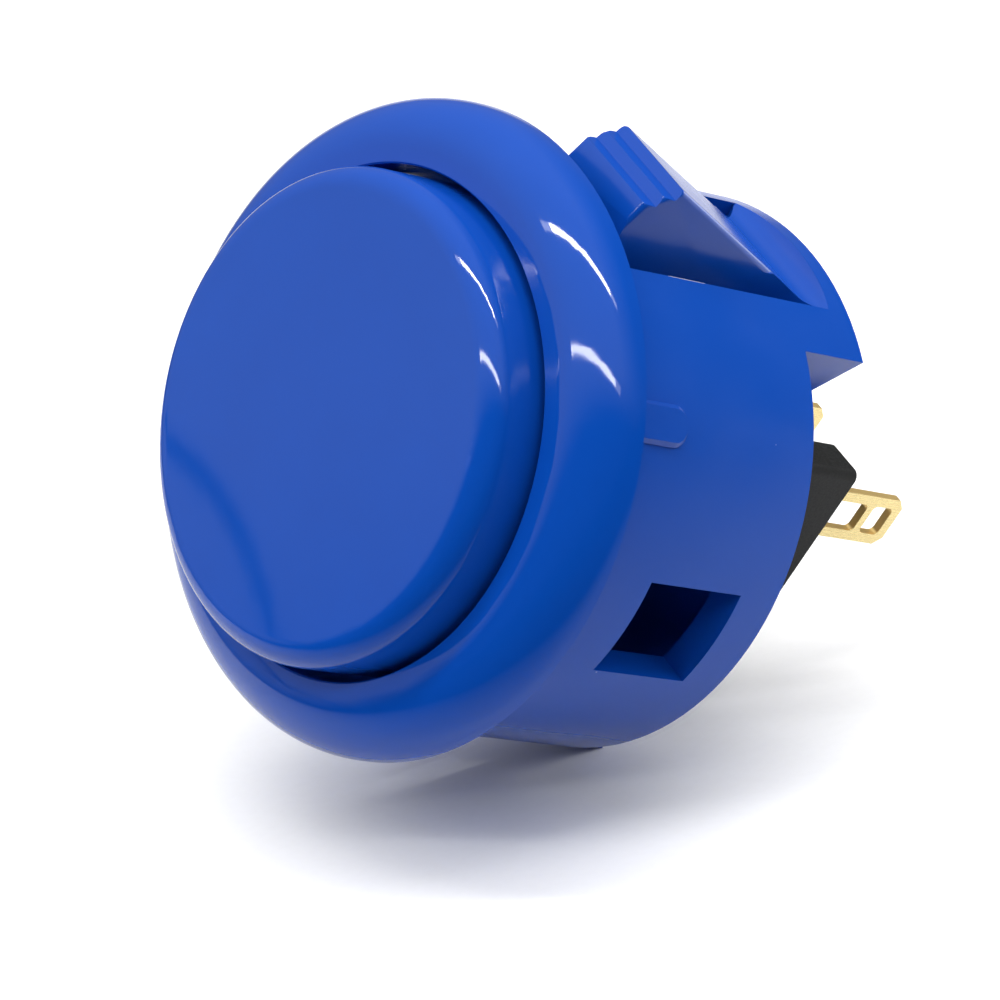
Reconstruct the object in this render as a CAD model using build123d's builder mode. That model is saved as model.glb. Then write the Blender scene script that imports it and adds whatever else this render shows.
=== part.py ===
from build123d import *
import os

# Snap-in arcade push button for a 30 mm panel hole, with its plug-in switch. Sizes are in millimetres.
# The origin lies on the press axis at the rim's underside, where the panel's face is. +Z points out of the
# panel, towards the finger. The snap arms stand at +X and -X, the hook windows at +Y and -Y.

os.makedirs("parts", exist_ok=True)

# Panel and press
panel_hole_radius = 15.0
hole_clearance = 0.2
travel = 2.8
stop_gap = 0.05

# Housing: rim, barrel and bore
rim_lip = 1.85
rim_height = 3.2
rim_round = 2.85
barrel_wall = 1.87
mouth_bevel = 0.08
edge_bevel = 0.1

# Housing: windows for the plunger's hooks, measured down from the panel
window_top = 4.95
window_width = 5.6
window_spare = 1.9
window_sill = 1.1

# Housing: web that carries the switch, and the feet below the barrel
web_thickness = 1.53
foot_drop = 4.33
foot_depth = 3.8
foot_half_angle = 29.0

# Housing: snap arms in their slots
slot_width = 9.05
slot_strip = 1.66
slot_fall = 0.55
slot_relief = 1.2
arm_width = 5.8
arm_gap = 2.25
arm_tip_reach = 1.05
arm_crest_reach = 2.0
arm_crest_drop = 0.35
ridge_count = 3
ridge_pitch = 0.975
ridge_step = 0.57
ridge_riser = 0.225
arm_inner_gap = 0.27
arm_straight = 7.25
arm_root_inset = 1.42
arm_root_thickness = 1.55
arm_root_round = 1.2
arm_root_flare = 2.8
arm_side_round = 0.3
arm_apex_round = 0.35

# Housing: anti-rotation ribs on the barrel
rib_angle = 49.0
rib_width = 2.1
rib_length = 4.75
rib_height = 0.3
rib_bevel = 0.22

# Plunger
cap_clearance = 0.47
cap_rise = 3.22
cap_thickness = 1.6
cap_face_radius = 300.0
cap_edge_round = 1.2
skirt_wall = 1.5
skirt_depth = 1.2
post_radius = 2.4
stiffener_thickness = 1.0
stiffener_recess = 1.0
leg_side_gap = 0.3
hook_height = 1.6
hook_land = 0.5
hook_catch = 0.42

# Switch case and cover
case_width = 11.4
case_length = 12.2
case_depth = 8.07
case_floor = 1.2
case_wall_x = 1.5
case_wall_y = 1.4
case_edge_round = 0.5
neck_step = 0.5
neck_clearance = 0.1
barb_height = 0.45
barb_reach = 0.35
barb_width = 4.0
tower_thickness = 2.9
tower_drop = 2.5
cover_thickness = 1.0
cover_lip = 0.7
cover_lip_wall = 0.8
cover_fit = 0.05
press_clearance = 0.5

# Stem, carrier and spring
stem_radius = 1.6
stem_clearance = 0.15
stem_bevel = 0.4
carrier_height = 1.9
carrier_length = 5.6
carrier_clearance = 0.2
pilot_radius = 1.2
pilot_length = 1.0
pilot_clearance = 0.1
spring_wire = 0.4
spring_gap = 0.15
spring_turns = 4
wire_sides = 6
spring_seat_gap = 0.03

# Contact bridge and terminals
bridge_thickness = 0.25
bridge_width = 4.2
finger_width = 2.0
finger_drop = 1.9
finger_bend = 0.4
finger_bow = 0.35
finger_tail = 0.7
contact_gap = 1.5
contact_clearance = 0.05
blade_wall_gap = 0.45
blade_thickness = 0.5
blade_width = 3.0
blade_offset = 1.9
blade_length = 7.1
blade_slot_gap = 0.02
blade_tip_chamfer = 0.5
blade_strip = 0.62
blade_corner_round = 0.3
blade_eye_length = 1.45
blade_eye_inset = 0.62
blade_bar = 0.5
blade_window_length = 2.6
tongue_width = 2.6
shoulder_height = 0.8

# Radii that follow from the panel hole
barrel_radius = panel_hole_radius - hole_clearance
bore_radius = barrel_radius - barrel_wall
cap_radius = bore_radius - cap_clearance
skirt_inner_radius = cap_radius - skirt_wall
rim_radius = barrel_radius + rim_lip
foot_inner_radius = barrel_radius - foot_depth
slot_inner = foot_inner_radius - slot_relief

# Heights that follow from the press, from the cap downwards
cap_top_z = rim_height + cap_rise
cap_under_z = cap_top_z - cap_thickness
cap_face_middle_z = cap_top_z - cap_face_radius
hook_top_z = -(window_top + stop_gap)
hook_bottom_z = hook_top_z - hook_height
window_bottom_z = hook_bottom_z - travel - window_spare
web_top_z = window_bottom_z - window_sill
barrel_end_z = web_top_z - web_thickness
foot_end_z = barrel_end_z - foot_drop
slot_floor_z = foot_end_z + slot_strip

# Heights inside the switch, which hangs in the web
neck_top_z = web_top_z + stop_gap + barb_height
cover_top_z = neck_top_z + cover_thickness
lip_bottom_z = neck_top_z - cover_lip
post_bottom_z = cover_top_z + press_clearance + travel
stem_top_z = post_bottom_z - stop_gap
carrier_top_z = lip_bottom_z - stop_gap
carrier_bottom_z = carrier_top_z - carrier_height
bridge_bottom_z = carrier_bottom_z - bridge_thickness
contact_z = bridge_bottom_z - finger_drop
tongue_top_z = contact_z - contact_gap
case_bottom_z = barrel_end_z - case_depth
case_floor_z = case_bottom_z + case_floor
tower_end_z = case_bottom_z - tower_drop
blade_tip_z = tower_end_z - blade_length

# Plan sizes inside the switch
cavity_width = case_width - 2 * case_wall_x
cavity_length = case_length - 2 * case_wall_y
neck_width = case_width - 2 * neck_step
neck_length = case_length - 2 * neck_step
blade_y = cavity_length / 2 - blade_wall_gap - blade_thickness / 2
finger_y = blade_y - blade_thickness / 2 - contact_clearance
finger_root_y = finger_y - finger_bow
spring_radius = pilot_radius + spring_gap + spring_wire / 2

# One snap arm at +X. Its outline runs straight over the crests, and the grooves between them are cut after
# the side edges are rounded, so that the ridges end softly at both sides.
crests = [
    (
        barrel_radius + arm_crest_reach + i * ridge_step,
        -(arm_gap + arm_crest_drop + i * ridge_pitch),
    )
    for i in range(ridge_count)
]
arm_inner_x = bore_radius + arm_inner_gap
arm_root_x = barrel_radius - arm_root_inset
arm_root_inner_x = arm_root_x - arm_root_thickness
ramp_slope = (crests[-1][0] - arm_root_x) / (crests[-1][1] - slot_floor_z)
ramp_exit_z = crests[-1][1] - (crests[-1][0] - panel_hole_radius) / ramp_slope
arm_sunk_z = slot_floor_z - slot_strip / 2

with BuildPart() as arm:
    with BuildSketch(Plane.XZ) as arm_outline:
        with BuildLine():
            Polyline(
                (arm_inner_x, -arm_gap),
                (barrel_radius + arm_tip_reach, -arm_gap),
                crests[0],
                crests[-1],
                (arm_root_x - ramp_slope * slot_strip / 2, arm_sunk_z),
                (arm_root_inner_x, arm_sunk_z),
                (arm_root_inner_x, slot_floor_z),
                (arm_inner_x, -(arm_gap + arm_straight)),
                close=True,
            )
        make_face()
        apex = arm_outline.vertices().sort_by_distance(crests[-1])[0]
        fillet(apex, radius=arm_apex_round)
    extrude(amount=arm_width / 2, both=True)
    side_edges = arm.faces().filter_by(Axis.Y).edges()
    fillet(
        side_edges.filter_by(lambda e: e.center().X > arm_root_x and e.center().Z < -arm_gap),
        radius=arm_side_round,
    )
    with BuildSketch(Plane.XZ) as ridge_grooves:
        for crest, next_crest in zip(crests, crests[1:]):
            with BuildLine():
                Polyline(crest, (crest[0], next_crest[1] + ridge_riser), next_crest, close=True)
            make_face()
    extrude(amount=arm_width, both=True, mode=Mode.SUBTRACT)

# One rib at +X, with a round end and bevelled edges. It starts inside the barrel's wall and ends under the rim.
with BuildPart() as rib:
    with BuildSketch(Plane.YZ.offset(bore_radius + barrel_wall / 2)) as rib_face:
        with Locations((0, -rib_length / 2)):
            rib_plan = Rectangle(rib_width, rib_length)
        fillet(rib_plan.vertices().group_by(Axis.Y)[0], radius=0.49 * rib_width)
    extrude(amount=barrel_wall / 2 + rib_height)
    rib_edges = rib.faces().sort_by(Axis.X)[-1].edges()
    chamfer(rib_edges.filter_by(lambda e: e.center().Z < -rib_bevel), length=rib_bevel)

# Housing: rim, barrel, web, feet, arms, windows and ribs in one moulding.
with BuildPart() as housing:
    with BuildSketch(Plane.XZ) as shell_profile:
        with BuildLine():
            Polyline(
                (bore_radius, rim_height),
                (bore_radius, web_top_z),
                (0, web_top_z),
                (0, barrel_end_z),
                (barrel_radius, barrel_end_z),
                (barrel_radius, 0),
                (rim_radius, 0),
                (rim_radius, rim_height),
                close=True,
            )
        make_face()
        crown = shell_profile.vertices().sort_by_distance((rim_radius, rim_height))[0]
        fillet(crown, radius=rim_round)
        barrel_corner = shell_profile.vertices().sort_by_distance((barrel_radius, barrel_end_z))[0]
        chamfer(barrel_corner, length=edge_bevel)
        mouth_corner = shell_profile.vertices().sort_by_distance((bore_radius, rim_height))[0]
        chamfer(mouth_corner, length=mouth_bevel)
    revolve(axis=Axis.Z)
    with BuildSketch(Plane.XY.offset(foot_end_z)) as feet_plan:
        for middle in (0, 180):
            with BuildLine():
                outer = CenterArc((0, 0), barrel_radius, middle - foot_half_angle, 2 * foot_half_angle)
                inner = CenterArc((0, 0), foot_inner_radius, middle - foot_half_angle, 2 * foot_half_angle)
                Line(outer @ 0, inner @ 0)
                Line(outer @ 1, inner @ 1)
            make_face()
    extrude(amount=foot_drop + web_thickness / 2)
    chamfer(housing.edges().group_by(Axis.Z)[0], length=edge_bevel)
    with BuildSketch(Plane.XZ) as slot_profile:
        with BuildLine():
            Polyline(
                (slot_inner, 0),
                (panel_hole_radius, 0),
                (panel_hole_radius, -arm_gap),
                (arm_inner_x, -arm_gap),
                (arm_inner_x, -(arm_gap + arm_straight)),
                (arm_root_inner_x, slot_floor_z),
                (slot_inner, slot_floor_z),
                close=True,
            )
        make_face()
        with BuildLine():
            Polyline(
                (panel_hole_radius, ramp_exit_z),
                (arm_root_x, slot_floor_z),
                (panel_hole_radius, slot_floor_z - slot_fall),
                close=True,
            )
        make_face()
        root = slot_profile.vertices().sort_by_distance((arm_root_x, slot_floor_z))[0]
        fillet(root, radius=arm_root_round)
        mirror(about=Plane.YZ)
    extrude(amount=slot_width / 2, both=True, mode=Mode.SUBTRACT)
    for turn in (0, 180):
        gap_plane = Plane.YZ.rotated((0, 0, turn))
        with BuildSketch(gap_plane.offset(slot_inner)) as gap_profile:
            with BuildLine():
                flare = TangentArc(
                    (arm_width / 2, slot_floor_z + arm_root_flare),
                    (slot_width / 2, slot_floor_z),
                    tangent=(0, -1),
                )
                Polyline(flare @ 1, (slot_width / 2, 0), (arm_width / 2, 0), flare @ 0)
            make_face()
            mirror(about=Plane.YZ)
        extrude(amount=panel_hole_radius - slot_inner, mode=Mode.SUBTRACT)
    with BuildSketch(Plane.XZ) as window_face:
        with Locations((0, (window_bottom_z - window_top) / 2)):
            Rectangle(window_width, -window_top - window_bottom_z)
    extrude(amount=panel_hole_radius, both=True, mode=Mode.SUBTRACT)
    with BuildSketch(Plane.XY.offset(web_top_z)) as socket_plan:
        Rectangle(neck_width + 2 * neck_clearance, neck_length + 2 * neck_clearance)
    extrude(amount=-web_thickness, mode=Mode.SUBTRACT)
    for turn in (-rib_angle, 180 - rib_angle):
        add(rib.part, rotation=(0, 0, turn))
    add(arm.part)
    mirror(arm.part, about=Plane.YZ)
housing.part.label = "housing"
export_step(housing.part, "parts/housing.step")

# Face of the plunger's cap: a shallow dome, cut from a ball where the cap's rounded edge runs smoothly into it.
edge_middle_x = cap_radius - cap_edge_round
edge_middle_rise = ((cap_face_radius - cap_edge_round) ** 2 - edge_middle_x**2) ** 0.5
edge_stretch = cap_face_radius / (cap_face_radius - cap_edge_round)
edge_end = (edge_middle_x * edge_stretch, cap_face_middle_z + edge_middle_rise * edge_stretch)
with BuildPart() as cap_face:
    with Locations((0, 0, cap_face_middle_z)):
        Sphere(cap_face_radius, rotation=(90, 0, 0))
    split(bisect_by=Plane.XY.offset(edge_end[1]))

# Plunger: domed cap with skirt, stiffeners and centre post, and two legs whose hooks stop it in the windows.
with BuildPart() as plunger:
    with BuildSketch(Plane.XZ) as cap_profile:
        with BuildLine():
            cap_edge = TangentArc((cap_radius, cap_face_middle_z + edge_middle_rise), edge_end, tangent=(0, 1))
            Polyline(
                cap_edge @ 1,
                (0, edge_end[1]),
                (0, post_bottom_z),
                (post_radius, post_bottom_z),
                (post_radius, cap_under_z),
                (skirt_inner_radius, cap_under_z),
                (skirt_inner_radius, -skirt_depth),
                (cap_radius, -skirt_depth),
                cap_edge @ 0,
            )
        make_face()
    revolve(axis=Axis.Z)
    with BuildSketch(Plane.XY.offset(cap_under_z)) as stiffener_plan:
        for turn in (0, 90):
            Rectangle(2 * skirt_inner_radius + skirt_wall, stiffener_thickness, rotation=turn)
    extrude(amount=stiffener_recess - skirt_depth - cap_under_z)
    leg_width = window_width - 2 * leg_side_gap
    with BuildSketch(Plane.XY.offset(-skirt_depth)) as leg_plan:
        Circle(cap_radius)
        Circle(skirt_inner_radius, mode=Mode.SUBTRACT)
        Rectangle(leg_width, 2 * cap_radius, mode=Mode.INTERSECT)
    extrude(amount=hook_bottom_z + skirt_depth)
    with BuildSketch(Plane.YZ) as hook_profile:
        leg_middle = cap_radius - skirt_wall / 2
        with BuildLine():
            Polyline(
                (leg_middle, hook_top_z),
                (bore_radius + hook_catch, hook_top_z),
                (bore_radius + hook_catch, hook_top_z - hook_land),
                (leg_middle, hook_bottom_z),
                close=True,
            )
        make_face()
        mirror(about=Plane.YZ)
    extrude(amount=leg_width / 2, both=True)
    add(cap_face.part)
plunger.part.label = "plunger"
export_step(plunger.part, "parts/plunger.step")

# Switch case: open box with a stepped neck that snaps up through the web, and two towers round the terminals.
with BuildPart() as switch_case:
    with BuildSketch(Plane.XY.offset(case_bottom_z)) as case_plan:
        RectangleRounded(case_width, case_length, case_edge_round)
    extrude(amount=case_depth)
    with BuildSketch(Plane.XY.offset(barrel_end_z)) as neck_plan:
        RectangleRounded(neck_width, neck_length, case_edge_round)
    extrude(amount=neck_top_z - barrel_end_z)
    with BuildSketch(Plane.XY.offset(case_bottom_z)) as tower_plan:
        for side in (-1, 1):
            with Locations((0, side * (case_length - tower_thickness) / 2)):
                RectangleRounded(case_width, tower_thickness, case_edge_round)
    extrude(amount=-tower_drop)
    with BuildSketch(Plane.XY.offset(case_floor_z)) as cavity_plan:
        Rectangle(cavity_width, cavity_length)
    extrude(amount=neck_top_z - case_floor_z, mode=Mode.SUBTRACT)
    with BuildSketch(Plane.XY.offset(case_floor_z)) as boss_plan:
        Circle(pilot_radius)
    extrude(amount=pilot_length)
    with BuildSketch(Plane.XY.offset(case_floor_z)) as blade_slots:
        with Locations((blade_offset, -blade_y), (blade_offset, blade_y)):
            Rectangle(blade_width + 2 * blade_slot_gap, blade_thickness + 2 * blade_slot_gap)
    extrude(amount=tower_end_z - case_floor_z, mode=Mode.SUBTRACT)
    with BuildSketch(Plane.YZ) as barb_profile:
        with BuildLine():
            Polyline(
                (neck_length / 2 - case_wall_y / 4, neck_top_z - barb_height),
                (neck_length / 2 + barb_reach, neck_top_z - barb_height),
                (neck_length / 2, neck_top_z),
                (neck_length / 2 - case_wall_y / 4, neck_top_z),
                close=True,
            )
        make_face()
        mirror(about=Plane.YZ)
    extrude(amount=barb_width / 2, both=True)
switch_case.part.label = "switch_case"
export_step(switch_case.part, "parts/switch_case.step")

# Switch cover: lid with a lip that presses into the case and a hole that guides the stem.
with BuildPart() as switch_cover:
    with BuildSketch(Plane.XY.offset(neck_top_z)) as cover_plan:
        RectangleRounded(neck_width, neck_length, case_edge_round)
    extrude(amount=cover_thickness)
    with BuildSketch(Plane.XY.offset(neck_top_z)) as lip_plan:
        Rectangle(cavity_width - 2 * cover_fit, cavity_length - 2 * cover_fit)
        Rectangle(
            cavity_width - 2 * (cover_fit + cover_lip_wall),
            cavity_length - 2 * (cover_fit + cover_lip_wall),
            mode=Mode.SUBTRACT,
        )
    extrude(amount=-cover_lip)
    with BuildSketch(Plane.XY.offset(neck_top_z)) as stem_hole:
        Circle(stem_radius + stem_clearance)
    extrude(amount=cover_thickness, mode=Mode.SUBTRACT)
switch_cover.part.label = "switch_cover"
export_step(switch_cover.part, "parts/switch_cover.step")

# Switch actuator: round stem on a carrier that stops under the cover's lip, with a pilot for the spring.
with BuildPart() as switch_actuator:
    with BuildSketch(Plane.XY.offset(carrier_bottom_z)) as carrier_plan:
        Rectangle(cavity_width - 2 * carrier_clearance, carrier_length)
    extrude(amount=carrier_height)
    with BuildSketch(Plane.XY.offset(carrier_top_z)) as stem_plan:
        Circle(stem_radius)
    extrude(amount=stem_top_z - carrier_top_z)
    chamfer(switch_actuator.edges().group_by(Axis.Z)[-1], length=stem_bevel)
    with BuildSketch(Plane.XY.offset(carrier_bottom_z)) as pilot_plan:
        Circle(pilot_radius)
    extrude(amount=-pilot_length)
switch_actuator.part.label = "switch_actuator"
export_step(switch_actuator.part, "parts/switch_actuator.step")

# Contact bridge: plate under the carrier, held up by the spring, with two bowed wiping fingers.
with BuildPart() as contact_bridge:
    with BuildSketch(Plane.XY.offset(bridge_bottom_z)) as plate_plan:
        Rectangle(bridge_width, 2 * finger_root_y)
        Circle(pilot_radius + pilot_clearance, mode=Mode.SUBTRACT)
    extrude(amount=bridge_thickness)
    with BuildSketch(Plane.YZ) as finger_profile:
        with BuildLine():
            Polyline(
                (finger_root_y, carrier_bottom_z),
                (finger_root_y, bridge_bottom_z - finger_bend),
                (finger_y, contact_z),
                (finger_root_y, contact_z - finger_tail),
                (finger_root_y - bridge_thickness, contact_z - finger_tail),
                (finger_y - bridge_thickness, contact_z),
                (finger_root_y - bridge_thickness, bridge_bottom_z - finger_bend),
                (finger_root_y - bridge_thickness, carrier_bottom_z),
                close=True,
            )
        make_face()
        mirror(about=Plane.YZ)
    extrude(amount=finger_width / 2, both=True)
contact_bridge.part.label = "contact_bridge"
export_step(contact_bridge.part, "parts/contact_bridge.step")

# Return spring: wire wound from the case floor up to the bridge, with few sides to keep its faces few.
spring_base_z = case_floor_z + spring_wire / 2 + spring_seat_gap
spring_height = bridge_bottom_z - spring_wire / 2 - spring_seat_gap - spring_base_z
with BuildPart() as return_spring:
    with BuildLine() as coil:
        Helix(spring_height / spring_turns, spring_height, spring_radius, center=(0, 0, spring_base_z))
    with BuildSketch(Plane(origin=coil.line @ 0, z_dir=coil.line % 0)) as wire_section:
        RegularPolygon(spring_wire / 2, wire_sides)
    sweep(path=coil.line, is_frenet=True)
return_spring.part.label = "return_spring"
export_step(return_spring.part, "parts/return_spring.step")

# Terminals: two stamped blades, seated by a shoulder on the case floor, with a contact tongue inside.
tongue_left = -tongue_width / 2
blade_left = blade_offset - blade_width / 2
blade_right = blade_offset + blade_width / 2
eye_middle_z = blade_tip_z + blade_eye_inset + blade_eye_length / 2
blade_window_z = eye_middle_z + (blade_eye_length + blade_window_length) / 2 + blade_bar
opening_width = blade_width - 2 * blade_strip
with BuildPart() as terminal_common:
    with BuildSketch(Plane.XZ.offset(blade_y - blade_thickness / 2)) as blade_outline:
        with BuildLine():
            Polyline(
                (tongue_left, tongue_top_z),
                (tongue_left + tongue_width, tongue_top_z),
                (tongue_left + tongue_width, case_floor_z + shoulder_height),
                (blade_right, case_floor_z + shoulder_height),
                (blade_right, blade_tip_z + blade_tip_chamfer),
                (blade_right - blade_tip_chamfer, blade_tip_z),
                (blade_left + blade_tip_chamfer, blade_tip_z),
                (blade_left, blade_tip_z + blade_tip_chamfer),
                (blade_left, case_floor_z),
                (tongue_left, case_floor_z),
                close=True,
            )
        make_face()
        with Locations((blade_offset, eye_middle_z)):
            RectangleRounded(opening_width, blade_eye_length, blade_corner_round, mode=Mode.SUBTRACT)
        with Locations((blade_offset, blade_window_z)):
            RectangleRounded(opening_width, blade_window_length, blade_corner_round, mode=Mode.SUBTRACT)
    extrude(amount=blade_thickness)
with BuildPart() as terminal_open:
    mirror(terminal_common.part, about=Plane.XZ)
terminal_common.part.label = "terminal_common"
terminal_open.part.label = "terminal_open"
export_step(terminal_common.part, "parts/terminal_common.step")
export_step(terminal_open.part, "parts/terminal_open.step")
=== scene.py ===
import math

import bmesh
import bpy
from mathutils import Matrix, Vector


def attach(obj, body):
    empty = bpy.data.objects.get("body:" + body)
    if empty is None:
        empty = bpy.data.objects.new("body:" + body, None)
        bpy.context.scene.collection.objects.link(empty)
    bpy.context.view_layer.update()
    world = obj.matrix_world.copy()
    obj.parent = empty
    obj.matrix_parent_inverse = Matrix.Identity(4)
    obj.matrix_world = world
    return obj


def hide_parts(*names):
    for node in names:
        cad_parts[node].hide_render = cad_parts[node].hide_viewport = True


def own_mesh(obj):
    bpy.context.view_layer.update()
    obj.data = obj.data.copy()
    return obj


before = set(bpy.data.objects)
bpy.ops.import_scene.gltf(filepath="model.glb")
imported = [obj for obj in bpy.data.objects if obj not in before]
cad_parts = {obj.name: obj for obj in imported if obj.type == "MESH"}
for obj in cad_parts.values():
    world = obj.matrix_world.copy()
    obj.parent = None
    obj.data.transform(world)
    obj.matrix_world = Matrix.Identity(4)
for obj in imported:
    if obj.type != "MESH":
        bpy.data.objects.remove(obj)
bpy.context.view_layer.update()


# Housing: one blue ABS moulding with rim, barrel, two feet, two ridged snap arms in their slots,
# two hook windows and the web that carries the switch. It is pushed into a panel from above, and
# the arms spring out under it. Its mould was polished for the rim and left satin below it.
def merged(node, name, edge):
    """The solid of a node with its triangles joined up and its moulded edges broken by a small radius."""
    same_point = 2e-6
    same_plane = math.radians(0.5)
    crease = math.radians(28)
    shape = bmesh.new()
    shape.from_mesh(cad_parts[node].data)
    bmesh.ops.remove_doubles(shape, verts=shape.verts, dist=same_point)
    bmesh.ops.dissolve_limit(shape, angle_limit=same_plane, verts=shape.verts, edges=shape.edges)
    mesh = bpy.data.meshes.new(name)
    shape.to_mesh(mesh)
    shape.free()
    if "custom_normal" in mesh.attributes:
        mesh.attributes.remove(mesh.attributes["custom_normal"])
    mesh.shade_smooth()
    mesh.set_sharp_from_angle(angle=crease)
    piece = bpy.data.objects.new(name, mesh)
    bpy.context.scene.collection.objects.link(piece)
    rounding = piece.modifiers.new("broken edges", "BEVEL")
    rounding.width = edge
    rounding.segments = 2
    rounding.limit_method = "ANGLE"
    rounding.angle_limit = crease
    rounding.use_clamp_overlap = True
    rounding.harden_normals = True
    return piece


def linear(hex_colour):
    """An sRGB hex colour as linear RGBA."""
    channels = [value / 255 for value in bytes.fromhex(hex_colour)]
    return tuple(((c + 0.055) / 1.055) ** 2.4 if c > 0.04045 else c / 12.92 for c in channels) + (1.0,)


def add_node(tree, kind, inputs, **settings):
    """One node with its settings, and its inputs set or linked, by name or, where names repeat, by number."""
    node = tree.nodes.new(kind)
    for setting, value in settings.items():
        setattr(node, setting, value)
    for socket, value in inputs.items():
        if isinstance(value, bpy.types.NodeSocket):
            tree.links.new(value, node.inputs[socket])
        else:
            node.inputs[socket].default_value = value
    return node


def new_material(name):
    """A material, its node tree, its shader, and the coordinates that its patterns follow."""
    material = bpy.data.materials.new(name)
    material.use_nodes = True
    tree = material.node_tree
    where = add_node(tree, "ShaderNodeTexCoord", {}).outputs
    return material, tree, tree.nodes["Principled BSDF"], where


def lay_on(tree, surface, colour, roughness, relief, strength, depth):
    """Puts a colour, a roughness and a fine relief on a shader."""
    bump = add_node(tree, "ShaderNodeBump", {"Height": relief, "Strength": strength, "Distance": depth})
    for socket, output in (("Base Color", colour), ("Roughness", roughness), ("Normal", bump.outputs[0])):
        tree.links.new(output, surface.inputs[socket])


def polished_abs(name, dye, pale_dye, gloss, satin, satin_below, satin_within):
    """Dyed ABS from a polished mould: even colour, sharp soft-edged highlights, faint ripple and a little dust."""
    material, tree, surface, where = new_material(name)
    place = where["Object"]
    # The dye flows in soft clouds about 6 mm across.
    cloud = 0.006
    clouds = add_node(tree, "ShaderNodeTexNoise", {"Vector": place, "Scale": 1 / cloud, "Detail": 2.0})
    dyed = add_node(tree, "ShaderNodeMix", {0: clouds.outputs["Fac"], 6: linear(dye), 7: linear(pale_dye)},
                    data_type="RGBA")
    # Dust: one pale speck of about 0.1 mm in some of the 2.5 mm cells.
    cell, speck_core, speck_edge = 0.0025, 0.00004, 0.00007
    clean_share, dust_grey = 0.72, "8FA6D8"
    cells = add_node(tree, "ShaderNodeTexVoronoi", {"Vector": place, "Scale": 1 / cell})
    speck = add_node(tree, "ShaderNodeMapRange", {
        "Value": cells.outputs["Distance"], "From Min": speck_core / cell, "From Max": speck_edge / cell,
        "To Min": 1.0, "To Max": 0.0})
    lot = add_node(tree, "ShaderNodeSeparateColor", {0: cells.outputs["Color"]})
    drawn = add_node(tree, "ShaderNodeMath", {0: lot.outputs[0], 1: clean_share}, operation="GREATER_THAN")
    dust = add_node(tree, "ShaderNodeMath", {0: speck.outputs[0], 1: drawn.outputs[0]}, operation="MULTIPLY")
    colour = add_node(tree, "ShaderNodeMix", {0: dust.outputs[0], 6: dyed.outputs[2], 7: linear(dust_grey)},
                      data_type="RGBA")
    # The polish ends below one height and inside one radius, each time over 0.2 mm.
    polish_end = 0.0002
    height = add_node(tree, "ShaderNodeSeparateXYZ", {0: place})
    flat = add_node(tree, "ShaderNodeVectorMath", {0: place, 1: (1.0, 1.0, 0.0)}, operation="MULTIPLY")
    radius = add_node(tree, "ShaderNodeVectorMath", {0: flat.outputs[0]}, operation="LENGTH")
    outside = add_node(tree, "ShaderNodeMapRange", {
        "Value": radius.outputs["Value"], "From Min": satin_within, "From Max": satin_within + polish_end,
        "To Min": satin, "To Max": gloss})
    polish = add_node(tree, "ShaderNodeMapRange", {
        "Value": height.outputs["Z"], "From Min": satin_below - polish_end, "From Max": satin_below,
        "To Min": satin, "To Max": outside.outputs[0]})
    # Handling leaves it uneven by two fifths, in patches of about 3 mm.
    patch, unevenness = 0.003, 0.4
    handled = add_node(tree, "ShaderNodeTexNoise", {"Vector": place, "Scale": 1 / patch, "Detail": 3.0})
    uneven = add_node(tree, "ShaderNodeMapRange", {
        "Value": handled.outputs["Fac"], "From Min": 0.0, "From Max": 1.0,
        "To Min": 1.0 - unevenness, "To Max": 1.0 + unevenness})
    rough = add_node(tree, "ShaderNodeMath", {0: polish.outputs[0], 1: uneven.outputs[0]}, operation="MULTIPLY")
    # Moulding ripple, 1.6 mm from crest to crest and about a micron high.
    ripple_pitch = 0.0016
    ripple = add_node(tree, "ShaderNodeTexNoise", {"Vector": place, "Scale": 1 / ripple_pitch, "Detail": 1.0})
    lay_on(tree, surface, colour.outputs[2], rough.outputs[0], ripple.outputs["Fac"], strength=0.08, depth=0.00002)
    surface.inputs["IOR"].default_value = 1.53
    return material


moulded_edge = 0.00012
rim_underside, bore_radius = -0.0001, 0.0130
blue, pale_blue = "0744A5", "0848AC"
polished = 0.045
housing = merged("housing", "housing_moulding", moulded_edge)
housing.data.materials.append(polished_abs("blue ABS, rim polished and barrel satin", blue, pale_blue, polished,
                                           satin=0.18, satin_below=rim_underside, satin_within=bore_radius))
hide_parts("housing")
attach(housing, "housing")


# Switch case and cover: two black PBT mouldings, case with neck and two terminal towers, lid with the
# hole for the stem. They snap together, and the case snaps into the housing's web from below.
usual_noise = {"From Min": 0.3, "From Max": 0.7}  # where most of a noise texture's values lie


def sparked_pbt(name, black, worn):
    """Glass-filled PBT from a spark-eroded mould: near black, with a fine even grain and a broad dull sheen."""
    material, tree, surface, where = new_material(name)
    # The fibres flow in streaks of about 4 mm; the spark craters are 0.12 mm across.
    streak, crater = 0.004, 0.00012
    flow = add_node(tree, "ShaderNodeTexNoise", {"Vector": where["Object"], "Scale": 1 / streak, "Detail": 3.0})
    colour = add_node(tree, "ShaderNodeMix", {0: flow.outputs["Fac"], 6: linear(black), 7: linear(worn)},
                      data_type="RGBA")
    craters = add_node(tree, "ShaderNodeTexNoise", {"Vector": where["Object"], "Scale": 1 / crater, "Detail": 2.0})
    dull = add_node(tree, "ShaderNodeMapRange", {**usual_noise, "Value": craters.outputs["Fac"],
                                                 "To Min": 0.42, "To Max": 0.58})
    lay_on(tree, surface, colour.outputs[2], dull.outputs[0], craters.outputs["Fac"], strength=0.25, depth=0.00002)
    surface.inputs["IOR"].default_value = 1.36
    return material


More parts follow.
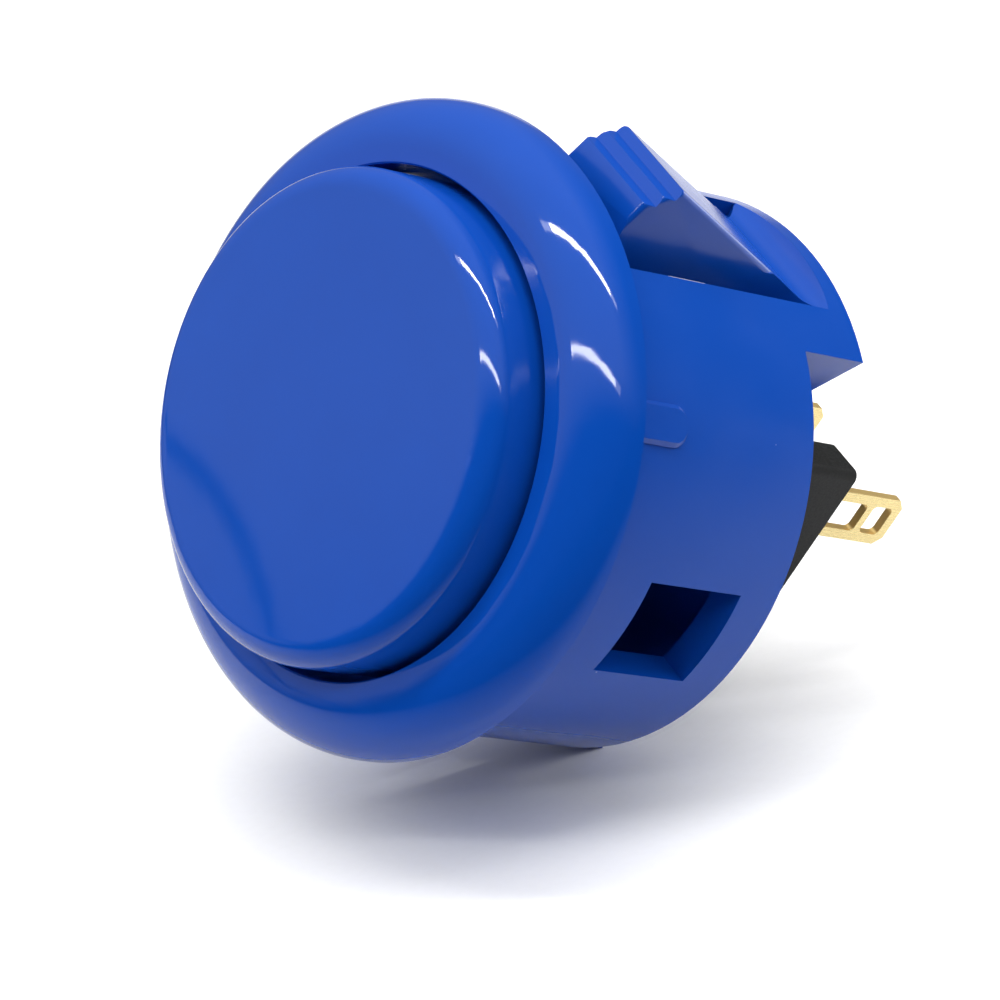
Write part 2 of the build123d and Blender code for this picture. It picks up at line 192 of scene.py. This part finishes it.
switch_edge = 0.00008
switch_black = sparked_pbt("black PBT, spark-eroded", "131414", "1A1B1B")
for node, name in (("switch_case", "switch_case_moulding"), ("switch_cover", "switch_cover_moulding")):
    box = merged(node, name, switch_edge)
    box.data.materials.append(switch_black)
    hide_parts(node)
    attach(box, "housing")


# Terminals: two flat blades stamped from brass strip and flashed with gold, each with a wire hole
# and a latch hole. They are pressed up through the towers of the case and held by friction.
def gold_flashed_brass(name, gold, deep_gold):
    """Rolled strip under a thin gold flash: fine lines along the blade, duller and deeper on the sheared edges."""
    material, tree, surface, where = new_material(name)
    # Rolling lines 0.05 mm apart and about 2 mm long, along the blade.
    line_pitch, line_length = 0.00005, 0.002
    along = add_node(tree, "ShaderNodeMapping", {"Vector": where["Object"],
                                                 "Scale": (1.0, 1.0, line_pitch / line_length)})
    lines = add_node(tree, "ShaderNodeTexNoise", {"Vector": along.outputs[0], "Scale": 1 / line_pitch, "Detail": 2.0})
    # The flat faces look along Y; all else was sheared.
    facing = add_node(tree, "ShaderNodeSeparateXYZ", {0: where["Normal"]})
    flat = add_node(tree, "ShaderNodeMath", {0: facing.outputs["Y"]}, operation="ABSOLUTE")
    sheared = add_node(tree, "ShaderNodeMapRange", {"Value": flat.outputs[0], "From Min": 0.3, "From Max": 0.7,
                                                    "To Min": 1.0, "To Max": 0.0})
    colour = add_node(tree, "ShaderNodeMix", {0: sheared.outputs[0], 6: linear(gold), 7: linear(deep_gold)},
                      data_type="RGBA")
    sheen = add_node(tree, "ShaderNodeMapRange", {**usual_noise, "Value": lines.outputs["Fac"],
                                                  "To Min": 0.2, "To Max": 0.34})
    sheared_roughness = 0.15
    dull = add_node(tree, "ShaderNodeMath", {0: sheared.outputs[0], 1: sheared_roughness, 2: sheen.outputs[0]},
                    operation="MULTIPLY_ADD")
    lay_on(tree, surface, colour.outputs[2], dull.outputs[0], lines.outputs["Fac"], strength=0.15, depth=0.00001)
    surface.inputs["Metallic"].default_value = 0.75
    return material


blade_edge = 0.00006
blade_gold = gold_flashed_brass("gold-flashed brass strip", "FFE8A6", "F0CE84")
for node, name in (("terminal_common", "terminal_common_blade"), ("terminal_open", "terminal_open_blade")):
    blade = merged(node, name, blade_edge)
    blade.data.materials.append(blade_gold)
    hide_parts(node)
    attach(blade, "housing")


# Return spring: one coil of drawn steel wire, standing on the case's floor under the carrier. It is
# shortened by the stem's travel and lifts the stem and the plunger again.
coil_sizes = {"Turns": 4.0, "Coil radius": 0.00155, "Height": 0.00554, "Wire radius": 0.0002, "Foot": -0.02057}
steps_per_turn, wire_sides = 40, 14
coil = bpy.data.node_groups.new("coiled wire", "GeometryNodeTree")
coil.is_modifier = True
for size in coil_sizes:
    coil.interface.new_socket(size, in_out="INPUT", socket_type="NodeSocketFloat")
coil.interface.new_socket("Wire finish", in_out="INPUT", socket_type="NodeSocketMaterial")
coil.interface.new_socket("Spring", in_out="OUTPUT", socket_type="NodeSocketGeometry")
asked = add_node(coil, "NodeGroupInput", {}).outputs
helix = add_node(coil, "GeometryNodeCurveSpiral", {"Resolution": steps_per_turn, "Rotations": asked["Turns"],
                                                   "Start Radius": asked["Coil radius"],
                                                   "End Radius": asked["Coil radius"], "Height": asked["Height"]})
foot = add_node(coil, "ShaderNodeCombineXYZ", {"Z": asked["Foot"]})
stood = add_node(coil, "GeometryNodeTransform", {"Geometry": helix.outputs[0], "Translation": foot.outputs[0]})
section = add_node(coil, "GeometryNodeCurvePrimitiveCircle", {"Resolution": wire_sides,
                                                              "Radius": asked["Wire radius"]})
wire = add_node(coil, "GeometryNodeCurveToMesh", {"Curve": stood.outputs[0], "Profile Curve": section.outputs[0],
                                                  "Fill Caps": True})
whole = add_node(coil, "GeometryNodeRealizeInstances", {"Geometry": wire.outputs[0]})
dressed = add_node(coil, "GeometryNodeSetMaterial", {"Geometry": whole.outputs[0], "Material": asked["Wire finish"]})
add_node(coil, "NodeGroupOutput", {"Spring": dressed.outputs[0]})


def drawn_metal(name, bright, dark, roughness, mark):
    """Drawn or plated metal: narrow marks from the die or the plating bath, seen as a slightly broken gloss."""
    material, tree, surface, where = new_material(name)
    marks = add_node(tree, "ShaderNodeTexNoise", {"Vector": where["Object"], "Scale": 1 / mark, "Detail": 3.0})
    colour = add_node(tree, "ShaderNodeMix", {0: marks.outputs["Fac"], 6: linear(dark), 7: linear(bright)},
                      data_type="RGBA")
    gloss = add_node(tree, "ShaderNodeMapRange", {**usual_noise, "Value": marks.outputs["Fac"],
                                                  "To Min": roughness * 0.8, "To Max": roughness * 1.3})
    lay_on(tree, surface, colour.outputs[2], gloss.outputs[0], marks.outputs["Fac"], strength=0.1, depth=0.00001)
    surface.inputs["Metallic"].default_value = 1.0
    return material


spring_steel = drawn_metal("drawn spring steel", "C9CBCE", "8E9196", roughness=0.26, mark=0.0002)
winder = bpy.data.objects.new("winder", bpy.data.meshes.new("winder"))
bpy.context.scene.collection.objects.link(winder)
winding = winder.modifiers.new("coil", "NODES")
winding.node_group = coil
for item in coil.interface.items_tree:
    if item.in_out == "INPUT":
        winding[item.identifier] = spring_steel if item.name == "Wire finish" else coil_sizes[item.name]
wound = bpy.data.meshes.new_from_object(winder.evaluated_get(bpy.context.evaluated_depsgraph_get()))
bpy.data.objects.remove(winder)
wound.name = "return_spring_coil"
wound.shade_smooth()
spring = bpy.data.objects.new("return_spring_coil", wound)
bpy.context.scene.collection.objects.link(spring)
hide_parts("return_spring")
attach(spring, "housing")
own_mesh(spring)


# Stem with its carrier, and the contact bridge on it: a white acetal moulding that the plunger's post
# pushes down, and a folded silver-plated strip whose two fingers wipe on the blades.
def milky_acetal(name, milk, shade):
    """Undyed acetal: milky white, waxy to the touch, with a dull even gloss."""
    material, tree, surface, where = new_material(name)
    # Milky clouds of about 3 mm, and a waxy skin that changes every 0.4 mm.
    cloud, skin = 0.003, 0.0004
    flow = add_node(tree, "ShaderNodeTexNoise", {"Vector": where["Object"], "Scale": 1 / cloud, "Detail": 2.0})
    colour = add_node(tree, "ShaderNodeMix", {0: flow.outputs["Fac"], 6: linear(milk), 7: linear(shade)},
                      data_type="RGBA")
    wax = add_node(tree, "ShaderNodeTexNoise", {"Vector": where["Object"], "Scale": 1 / skin, "Detail": 2.0})
    dull = add_node(tree, "ShaderNodeMapRange", {**usual_noise, "Value": wax.outputs["Fac"],
                                                 "To Min": 0.36, "To Max": 0.46})
    lay_on(tree, surface, colour.outputs[2], dull.outputs[0], wax.outputs["Fac"], strength=0.1, depth=0.00002)
    surface.inputs["IOR"].default_value = 1.48
    return material


stem_edge, strip_edge = 0.0001, 0.00003
stem = merged("switch_actuator", "stem_and_carrier", stem_edge)
stem.data.materials.append(milky_acetal("undyed acetal", "ECE9E0", "DEDACF"))
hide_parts("switch_actuator")
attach(stem, "actuator")
bridge = merged("contact_bridge", "contact_bridge_strip", strip_edge)
bridge.data.materials.append(drawn_metal("silver-plated copper strip", "DAD7D0", "B4AFA6",
                                         roughness=0.28, mark=0.0003))
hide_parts("contact_bridge")
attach(bridge, "actuator")


# Plunger: one blue ABS moulding, from the same dye as the housing, with a polished face. A slightly
# domed cap on a short skirt, with a post for the stem and two hook legs that hold it in the windows.
dome_radius, dome_centre, dome_edge = 0.3, -0.29358, 0.011305
dome_lowest, dome_steepest = 0.0061, 0.9985
ring_shares = (0.985, 0.96, 0.92, 0.86, 0.78, 0.68, 0.56, 0.43, 0.29, 0.15)
plunger = merged("plunger", "plunger_moulding", moulded_edge)
cap = bmesh.new()
cap.from_mesh(plunger.data)
face = [f for f in cap.faces if f.normal.z > dome_steepest and f.calc_center_median().z > dome_lowest]
lip = [e for e in cap.edges if sum(f in face for f in e.link_faces) == 1]
ring = sorted({v for e in lip for v in e.verts}, key=lambda v: math.atan2(v.co.y, v.co.x))
bmesh.ops.delete(cap, geom=face, context="FACES")
# The dome's few long triangles give way to close rings, so that the gloss runs evenly over it.
for share in ring_shares:
    inner = []
    for start in ring:
        spot = Vector((start.co.x, start.co.y, 0.0)).normalized() * dome_edge * share
        spot.z = dome_centre + math.sqrt(dome_radius ** 2 - spot.length_squared)
        inner.append(cap.verts.new(spot))
    for i in range(len(ring)):
        cap.faces.new((ring[i - 1], ring[i], inner[i], inner[i - 1])).smooth = True
    ring = inner
cap.faces.new(ring).smooth = True
cap.to_mesh(plunger.data)
cap.free()
# The whole width of the cap is polished, so the radius inside which the polish ends is below zero.
cap_shoulder, no_radius = 0.0050, -0.001
plunger.data.materials.append(polished_abs("blue ABS, face polished and skirt satin", blue, pale_blue, polished,
                                            satin=0.2, satin_below=cap_shoulder, satin_within=no_radius))
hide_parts("plunger")
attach(plunger, "plunger")


# Camera: a long lens, close to the part and a little above the table, from the photograph's outlines.
right = Vector((0.50083, -0.48581, -0.71635))
up = Vector((0.77038, 0.62748, 0.11304))
back = Vector((0.39459, -0.60847, 0.68852))
view = Matrix((right, up, back)).transposed().to_4x4()
lens = bpy.data.cameras.new("camera")
lens.lens = 180
lens.sensor_width = 36
lens.clip_start = 0.01
camera = bpy.data.objects.new("camera", lens)
camera.matrix_world = Matrix.Translation((0.09800, -0.15616, 0.16794)) @ view
bpy.context.scene.collection.objects.link(camera)
bpy.context.scene.camera = camera


# Table: a sheet of matt white paper, which the part touches with its lowest point. Mirrored rays find it
# fading out towards the camera and far behind, where a smaller sheet would end. It is open from below.
table_up = Vector((0.800, 0.405, 0.440)).normalized()
table_front = (back - table_up * back.dot(table_up)).normalized()
table_side = table_up.cross(table_front)
front_edge, rear_edge, half_width = 0.065, -0.4, 0.5
rest_height = min(table_up.dot(v.co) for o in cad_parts.values() for v in o.data.vertices)
corners = [table_up * rest_height + table_front * f + table_side * s
           for f, s in ((front_edge, -half_width), (front_edge, half_width),
                        (rear_edge, half_width), (rear_edge, -half_width))]
sheet = bpy.data.meshes.new("paper_table")
sheet.from_pydata(corners, [], [(0, 1, 2, 3)])
table = bpy.data.objects.new("paper_table", sheet)
bpy.context.scene.collection.objects.link(table)
paper, tree, unused_shader, where = new_material("matt white paper")
tree.nodes.remove(unused_shader)
# The paper's tooth, 0.6 mm from fibre to fibre.
fibre = 0.0006
tooth = add_node(tree, "ShaderNodeTexNoise", {"Vector": where["Object"], "Scale": 1 / fibre, "Detail": 2.0})
white = add_node(tree, "ShaderNodeMix", {0: tooth.outputs["Fac"], 6: linear("D6D6D6"), 7: linear("DADADA")},
                 data_type="RGBA")
# Seen directly or through glass it is lifted to white, and in a mirror to about three quarters of that.
direct_lift, mirror_lift = 0.45, 0.1
ray = add_node(tree, "ShaderNodeLightPath", {}).outputs
direct = add_node(tree, "ShaderNodeMath", {0: ray["Is Camera Ray"], 1: ray["Is Transmission Ray"]},
                  operation="MAXIMUM")
mirror = add_node(tree, "ShaderNodeMath", {0: ray["Is Glossy Ray"], 1: mirror_lift, 2: 1.0}, operation="MULTIPLY_ADD")
gain = add_node(tree, "ShaderNodeMath", {0: direct.outputs[0], 1: direct_lift, 2: mirror.outputs[0]},
                operation="MULTIPLY_ADD")
lifted = add_node(tree, "ShaderNodeVectorMath", {0: white.outputs[2], "Scale": gain.outputs[0]}, operation="SCALE")
matt = add_node(tree, "ShaderNodeBsdfDiffuse", {"Color": lifted.outputs[0]})
# For mirrored rays it fades between two lines in front, which draw back to both sides, and two behind.
right_slope, left_slope = 0.1, -0.2
ahead = add_node(tree, "ShaderNodeVectorMath", {0: where["Object"], 1: table_front}, operation="DOT_PRODUCT")
aside = add_node(tree, "ShaderNodeVectorMath", {0: where["Object"], 1: table_side}, operation="DOT_PRODUCT")
to_right = add_node(tree, "ShaderNodeMath", {0: aside.outputs["Value"], 1: right_slope}, operation="MULTIPLY")
to_left = add_node(tree, "ShaderNodeMath", {0: aside.outputs["Value"], 1: left_slope}, operation="MULTIPLY")
outward = add_node(tree, "ShaderNodeMath", {0: to_right.outputs[0], 1: to_left.outputs[0]}, operation="MAXIMUM")
reach = add_node(tree, "ShaderNodeMath", {0: ahead.outputs["Value"], 1: outward.outputs[0]}, operation="ADD")
near = add_node(tree, "ShaderNodeMapRange", {"Value": reach.outputs[0], "From Min": -0.004, "From Max": 0.031,
                                             "To Min": 0.0, "To Max": 1.0})
far = add_node(tree, "ShaderNodeMapRange", {"Value": ahead.outputs["Value"], "From Min": -0.11, "From Max": -0.13,
                                            "To Min": 0.0, "To Max": 1.0})
fade = add_node(tree, "ShaderNodeMath", {0: near.outputs[0], 1: far.outputs[0]}, operation="MAXIMUM")
gone = add_node(tree, "ShaderNodeMath", {0: fade.outputs[0], 1: ray["Is Glossy Ray"]}, operation="MULTIPLY")
below = add_node(tree, "ShaderNodeNewGeometry", {}).outputs["Backfacing"]
open_part = add_node(tree, "ShaderNodeMath", {0: gone.outputs[0], 1: below}, operation="MAXIMUM")
clear = add_node(tree, "ShaderNodeBsdfTransparent", {})
faded = add_node(tree, "ShaderNodeMixShader", {0: open_part.outputs[0], 1: matt.outputs[0], 2: clear.outputs[0]})
tree.links.new(faded.outputs[0], tree.nodes["Material Output"].inputs["Surface"])
table.data.materials.append(paper)


# Light: two long tubes over and behind the camera with a weaker glow past their ends, and soft panels
# around the table, in a white room that is open, and dark, towards the camera.
def hang(name, centre, along, away, length, width, radiance):
    """An area lamp of even radiance, with its long side along one direction and its back to another."""
    lamp = bpy.data.lights.new(name, "AREA")
    lamp.shape = "RECTANGLE"
    lamp.size = length
    lamp.size_y = width
    lamp.energy = radiance * math.pi * length * width
    holder = bpy.data.objects.new(name, lamp)
    turned = Matrix((along, away.cross(along), away)).transposed().to_4x4()
    holder.matrix_world = Matrix.Translation(centre) @ turned
    bpy.context.scene.collection.objects.link(holder)
    return holder


# Each tube by its two ends, to the camera's right, up and back, with its width and radiance.
for name, left_end, right_end, width, radiance in (
        ("tube over the table", (-0.36, 0.50, 0.307), (0.39, 0.50, 0.349), 0.028, 36.0),
        ("glow along the first tube", (-0.54, 0.50, 0.297), (0.52, 0.50, 0.356), 0.03, 5.0),
        ("tube behind the camera", (-0.80, 0.353, 0.55), (0.355, 0.209, 0.55), 0.026, 14.0),
        ("glow along the second tube", (-0.80, 0.353, 0.55), (0.50, 0.191, 0.55), 0.04, 2.5)):
    start, end = [right * x + up * y + back * z for x, y, z in (left_end, right_end)]
    centre = (start + end) / 2
    along = (end - start).normalized()
    away = (centre - along * centre.dot(along)).normalized()
    hang(name, centre, along, away, (end - start).length, width, radiance)

# Four soft panels, each by its turn from the front and its height over the table in degrees, and its radiance.
panel_side, panel_distance = 0.5, 0.6
for name, turn, height, radiance in (("panel at the left front", -60.0, 40.0, 1.05),
                                     ("panel behind at the left", -140.0, 40.0, 0.8),
                                     ("low panel at the right", 90.0, 15.0, 1.4),
                                     ("panel behind at the right", 140.0, 40.0, 1.4)):
    turn, height = math.radians(turn), math.radians(height)
    level_part = table_front * math.cos(turn) + table_side * math.sin(turn)
    away = (level_part * math.cos(height) + table_up * math.sin(height)).normalized()
    along = table_up.cross(away).normalized()
    panel = hang(name, away * panel_distance, along, away, panel_side, panel_side, radiance)
    panel.visible_glossy = False

room = bpy.data.worlds.new("white room")
room.use_nodes = True
bpy.context.scene.world = room
tree = room.node_tree
sky = tree.nodes["Background"]
sky.inputs["Color"].default_value = (1.0, 1.0, 1.0, 1.0)
# How closely a direction into the room points to each of its spots, from 1 to -1.
spots = {"under the camera": (back - up * 4.0).normalized(),
         "doorway": (right * 0.882 + up * 0.375 - back * 0.287).normalized(),
         "curtain": Vector((-0.46, 0.64, 0.61)).normalized(),
         "across the curtain": Vector((0.845, 0.113, 0.522)),
         "down the curtain": Vector((-0.256, -0.766, 0.589)),
         "camera": back,
         "above the table": table_up,
         "bright gap": (right * 0.74 + up * 0.16 - back * 0.65).normalized()}
looking = add_node(tree, "ShaderNodeTexCoord", {}).outputs["Generated"]
to_spot = {name: add_node(tree, "ShaderNodeVectorMath", {0: looking, 1: spot}, operation="DOT_PRODUCT").outputs["Value"]
           for name, spot in spots.items()}
# Grey-white walls, dark under the camera, below the table and in a doorway at the right, and dimmer far behind.
walls = add_node(tree, "ShaderNodeMapRange", {
    "Value": to_spot["under the camera"], "From Min": 0.10, "From Max": -0.2, "To Min": 0.02, "To Max": 0.62},
    interpolation_type="SMOOTHSTEP")
horizon = add_node(tree, "ShaderNodeMapRange", {
    "Value": to_spot["above the table"], "From Min": -0.08, "From Max": 0.0, "To Min": 0.03, "To Max": 1.0})
far = add_node(tree, "ShaderNodeMapRange", {
    "Value": to_spot["camera"], "From Min": -0.85, "From Max": 0.1, "To Min": 0.35, "To Max": 1.0})
doorway = add_node(tree, "ShaderNodeMapRange", {
    "Value": to_spot["doorway"], "From Min": 0.55, "From Max": 0.95, "To Min": 1.0, "To Max": 0.1})
# The dark edge of a curtain at the left, about one degree wide and bent, is mirrored as a soft line in the cap.
curtain_bend, curtain_edge, curtain_end = 3.8, 0.0132, 0.97
squared = add_node(tree, "ShaderNodeMath", {0: to_spot["down the curtain"], 1: 2.0}, operation="POWER")
bent = add_node(tree, "ShaderNodeMath", {0: squared.outputs[0], 1: curtain_bend, 2: to_spot["across the curtain"]},
                operation="MULTIPLY_ADD")
shifted = add_node(tree, "ShaderNodeMath", {0: bent.outputs[0], 1: curtain_edge}, operation="SUBTRACT")
off_edge = add_node(tree, "ShaderNodeMath", {0: shifted.outputs[0]}, operation="ABSOLUTE")
edge = add_node(tree, "ShaderNodeMapRange", {
    "Value": off_edge.outputs[0], "From Min": 0.0, "From Max": 0.010, "To Min": 0.08, "To Max": 1.0},
    interpolation_type="SMOOTHSTEP")
past_curtain = add_node(tree, "ShaderNodeMath", {0: to_spot["curtain"], 1: curtain_end}, operation="LESS_THAN")
curtain = add_node(tree, "ShaderNodeMath", {0: edge.outputs[0], 1: past_curtain.outputs[0]}, operation="MAXIMUM")
level = walls.outputs[0]
for shade in (horizon, far, doorway, curtain):
    level = add_node(tree, "ShaderNodeMath", {0: level, 1: shade.outputs[0]}, operation="MULTIPLY").outputs[0]
# A bright gap low behind the part, at the right, which the polished edges mirror as thin white lines.
gap = add_node(tree, "ShaderNodeMapRange", {
    "Value": to_spot["bright gap"], "From Min": 0.93, "From Max": 0.97, "To Min": 0.0, "To Max": 3.0},
    interpolation_type="SMOOTHSTEP")
ray = add_node(tree, "ShaderNodeLightPath", {}).outputs
mirrored = add_node(tree, "ShaderNodeMath", {0: gap.outputs[0], 1: ray["Is Glossy Ray"], 2: level},
                    operation="MULTIPLY_ADD")
# The backdrop behind the part is white for the camera, and so it is where gloss or glass shows it.
backdrop = add_node(tree, "ShaderNodeMapRange", {
    "Value": to_spot["camera"], "From Min": -0.85, "From Max": -0.97, "To Min": 0.0, "To Max": 1.0},
    interpolation_type="SMOOTHSTEP")
bounced = add_node(tree, "ShaderNodeMath", {0: ray["Is Glossy Ray"], 1: ray["Is Transmission Ray"]},
                   operation="MAXIMUM")
shown = add_node(tree, "ShaderNodeMath", {0: bounced.outputs[0], 1: backdrop.outputs[0]}, operation="MULTIPLY")
white_part = add_node(tree, "ShaderNodeMath", {0: ray["Is Camera Ray"], 1: shown.outputs[0]}, operation="MAXIMUM")
seen = add_node(tree, "ShaderNodeMix", {0: white_part.outputs[0], 2: mirrored.outputs[0], 3: 1.0})
tree.links.new(seen.outputs[0], sky.inputs["Strength"])

bpy.context.scene.view_settings.view_transform = "Standard"
